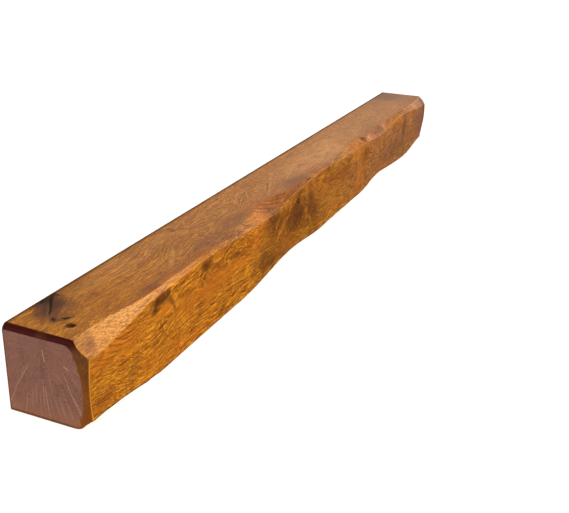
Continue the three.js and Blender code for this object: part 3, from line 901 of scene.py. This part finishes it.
    # End grain, with its rays.
    offset = wood.vector("SUBTRACT", wood.joined(0.0, back, up), (0, *PITH))
    _, across, over = wood.parts(offset)
    turn = wood.math("ARCTAN2", across, over)
    radius = Tone(wood, wood.node("ShaderNodeVectorMath", {"operation": "LENGTH"}, {0: offset}).outputs["Value"])
    fan = wood.noise(wood.joined(turn * 26.0, radius * 0.025, 0.0), detail=2, roughness=0.6)
    wide_fan = wood.noise(wood.joined(turn * 7.0, radius * 0.02, 4.0), detail=2)
    fleck = wood.noise(wood.joined(turn * 16.0, radius * 0.16, 0.0), detail=3, roughness=0.65)
    drift = wood.noise(wood.vector("MULTIPLY", spot, (0.0, 1 / 30, 1 / 30)), detail=3)
    end_ring = wood.math("SINE", radius * 1.15 + drift * 9.0)
    rays = wood.step(fan, 0.54, 0.80) * wood.step(radius, 14.0, 60.0) * 0.6
    rays = wood.math("MAXIMUM", rays, brushed(wood, END_RAYS, back, up))
    low_warm = wood.step(up + (fleck - 0.5) * 50.0, 34.0, -4.0)
    grit = wood.noise(wood.vector("MULTIPLY", spot, (0.0, 1 / 2.2, 1 / 1.6)), detail=1)
    shadow = (0.52 - fleck) * 1.2 + (0.5 - wide_fan) * 0.7 + (0.5 - drift) * 0.6 + (0.5 - grit) * 1.3
    shadow = shadow + end_ring * 0.07
    end_colour = wood.mix(wood.step(shadow, -0.1, 0.7), END_BROWN, END_DARK)
    glow = (fleck - 0.5) * 1.2 + (wide_fan - 0.5) * 1.2
    end_colour = wood.mix(low_warm * 0.6 + wood.step(glow, 0.05, 0.6) * 0.5, end_colour, END_WARM)
    end_colour = wood.mix(rays * (0.2 + fleck * 0.9), end_colour, END_RAY)
    colour = wood.mix(capped, colour, end_colour)

    # The bevel round the ends drank more of the stain, most of all along the top. Its outer edge on
    # the front has a painted highlight: a light line where the rounded edge would catch the light.
    on_bevel = wood.step(rim, 0.0, 0.1) * (1 - capped)
    bevel_colour = wood.mix(wood.step(up, 30.0, 112.0), BEVEL_LOW, BEVEL_HIGH)
    colour = wood.mix(on_bevel * (0.75 + (cloud - 0.5) * 1.5), colour, bevel_colour)
    worn = 0.95 - wood.step(wood.math("ABSOLUTE", back - 76.0), 14.0, 4.0) * 0.3
    colour = wood.mix(on_bevel * wood.step(up + rim * 5.0, 130.0, 143.0) * worn, colour, BEVEL_TOP)
    # Painted highlight: a light line along the outer edge of the bevel on the front.
    painted_edge_highlight = wood.step(rim, 0.0, 0.05) * wood.step(rim, 0.26, 0.12) * wood.step(up, 122.0, 112.0)
    colour = wood.mix(painted_edge_highlight * wood.step(back, 12.0, 6.0) * 0.9, colour, PAINTED_EDGE_HIGHLIGHT)
    colour = wood.mix(on_bevel * wood.step(up, 10.0, 3.0) * wood.step(back, 20.0, 40.0) * 0.8, colour, END_DARK)

    gloss = 0.40 + (fine - 0.5) * 0.22 + pored * 0.25 + capped * 0.12 + chamfer * 0.15
    gloss = gloss + black_and_crack_shade * 0.4 + edge_shade * 0.4
    relief = (fine - 0.5) * 0.5 + (middle - 0.5) * 0.8 - pored * 1.2 - late * 0.15
    bump = wood.node("ShaderNodeBump", None, {"Strength": 0.6, "Distance": 0.0004, "Height": relief})
    shader = wood.node("ShaderNodeBsdfPrincipled", None, {
        "Base Color": colour, "Roughness": gloss, "Normal": bump.outputs[0],
        "Specular IOR Level": 0.16})
    wood.node("ShaderNodeOutputMaterial", None, {"Surface": shader.outputs[0]})
    return wood.material


def turned(wood, x, y, middle_x, middle_y, angle):
    """The place seen from a middle, with the axes turned by an angle."""
    dx, dy = x - middle_x, y - middle_y
    return dx * math.cos(angle) + dy * math.sin(angle), dy * math.cos(angle) - dx * math.sin(angle)


def brushed(wood, lines, x, y):
    """Strength of the strongest of some thin lines. A line is a chord bowed aside by a parabola. It
    is as wide as the root of the parabola, so that it is pointed at both its ends."""
    place = wood.joined(x, y, 1.0)
    strongest = 0.0
    for start, end, half_width, bow, strength in lines:
        run, climb = end[0] - start[0], end[1] - start[1]
        length = math.hypot(run, climb)
        run, climb = run / length, climb / length
        passed, aside = start[0] * run + start[1] * climb, start[1] * run - start[0] * climb
        share = wood.dot(place, (run / length, climb / length, -passed / length))
        apart = wood.dot(place, (-climb, run, -aside))
        parabola = wood.math("MAXIMUM", share * (4.0 - share * 4.0), 1e-5)
        if bow:
            apart = apart - parabola * bow
        apart = wood.math("ABSOLUTE", apart) / wood.math("SQRT", parabola)
        inked = wood.step(apart, half_width * 1.7, half_width * 0.3, out_high=strength)
        strongest = wood.math("MAXIMUM", inked, strongest)
    return strongest


def plain(name, colour, roughness, glow=0.0):
    finish = Finish(name)
    shader = finish.node("ShaderNodeBsdfPrincipled", None, {
        "Base Color": colour, "Roughness": roughness, "Specular IOR Level": 0.1,
        "Emission Color": colour, "Emission Strength": glow})
    finish.node("ShaderNodeOutputMaterial", None, {"Surface": shader.outputs[0]})
    return finish.material


# The studio, in metres.
FLOOR_REACH = 40
FLOOR_WHITE = (0.9, 0.9, 0.9, 1.0)
FLOOR_GLOW = 0.16
CAMERA = {"at": (-1.7619, -0.7246, 0.7248), "aim": (575, -53, 72), "roll": 1.75, "lens": 53.92}
KEY_FROM = (0.74, -0.44, 0.53)
KEY_SPREAD = 50
KEY_STRENGTH = 4.6
KEY_SHINE = 0.4  # share of the key that the oiled wood mirrors
SKY = ((-1.0, 0.04), (-0.12, 0.06), (0.0, 0.9), (0.16, 0.9), (0.5, 0.32), (1.0, 0.24))


def build_floor():
    mesh = bpy.data.meshes.new("studio_floor")
    corners = [(x * FLOOR_REACH, y * FLOOR_REACH, 0) for x, y in ((-1, -1), (1, -1), (1, 1), (-1, 1))]
    mesh.from_pydata(corners, [], [(0, 1, 2, 3)])
    floor = bpy.data.objects.new("studio_floor", mesh)
    bpy.context.scene.collection.objects.link(floor)
    mesh.materials.append(plain("pale_floor", FLOOR_WHITE, 0.9, FLOOR_GLOW))
    floor.visible_glossy = False
    return floor


def build_camera():
    camera = bpy.data.objects.new("camera", bpy.data.cameras.new("camera"))
    camera.data.sensor_fit = "HORIZONTAL"
    camera.data.sensor_width = 36
    camera.data.lens = CAMERA["lens"]
    at = Vector(CAMERA["at"])
    aim = (Vector(CAMERA["aim"]) - Vector((LENGTH / 2, DEPTH / 2, 0))) * MM
    level = (aim - at).to_track_quat("-Z", "Y")
    roll = Quaternion((0, 0, 1), math.radians(CAMERA["roll"]))
    camera.matrix_world = Matrix.Translation(at) @ (level @ roll).to_matrix().to_4x4()
    bpy.context.scene.collection.objects.link(camera)
    bpy.context.scene.camera = camera


def build_lights():
    """A large soft key from the front right, of which only a share shines on the oil, and a studio
    that is bright round the horizon and dim overhead. Below the horizon only reflections see it,
    because the floor leaves them be."""
    toward = Vector(KEY_FROM).normalized()
    aimed = (-toward).to_track_quat("-Z", "Y").to_matrix().to_4x4()
    for name, share, shines in (("key_light", 1 - KEY_SHINE, False), ("key_shine", KEY_SHINE, True)):
        key = bpy.data.objects.new(name, bpy.data.lights.new(name, "SUN"))
        key.data.angle = math.radians(KEY_SPREAD)
        key.data.energy = KEY_STRENGTH * share
        key.data.use_shadow = False
        key.visible_glossy = shines
        key.matrix_world = Matrix.Translation(toward * 3) @ aimed
        bpy.context.scene.collection.objects.link(key)

    world = bpy.data.worlds.new("studio")
    world.use_nodes = True
    bpy.context.scene.world = world
    nodes, links = world.node_tree.nodes, world.node_tree.links
    nodes.clear()
    direction = nodes.new("ShaderNodeTexCoord")
    height = nodes.new("ShaderNodeSeparateXYZ")
    height_share = nodes.new("ShaderNodeMapRange")
    height_share.inputs["From Min"].default_value = -1
    level = nodes.new("ShaderNodeValToRGB")
    level.color_ramp.interpolation = "EASE"
    for index, (height_at, white) in enumerate(SKY):
        if index < 2:
            stop = level.color_ramp.elements[index]
            stop.position = (height_at + 1) / 2
        else:
            stop = level.color_ramp.elements.new((height_at + 1) / 2)
        stop.color = (white, white, white, 1)
    sky = nodes.new("ShaderNodeBackground")
    output = nodes.new("ShaderNodeOutputWorld")
    links.new(direction.outputs["Generated"], height.inputs[0])
    links.new(height.outputs["Z"], height_share.inputs["Value"])
    links.new(height_share.outputs[0], level.inputs[0])
    links.new(level.outputs[0], sky.inputs["Color"])
    links.new(sky.outputs[0], output.inputs[0])


bpy.context.scene.view_settings.view_transform = "Standard"
beam = build_beam()
beam.data.materials.append(oak())
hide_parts(NODE)
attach(beam, "root")
build_floor()
build_camera()
build_lights()
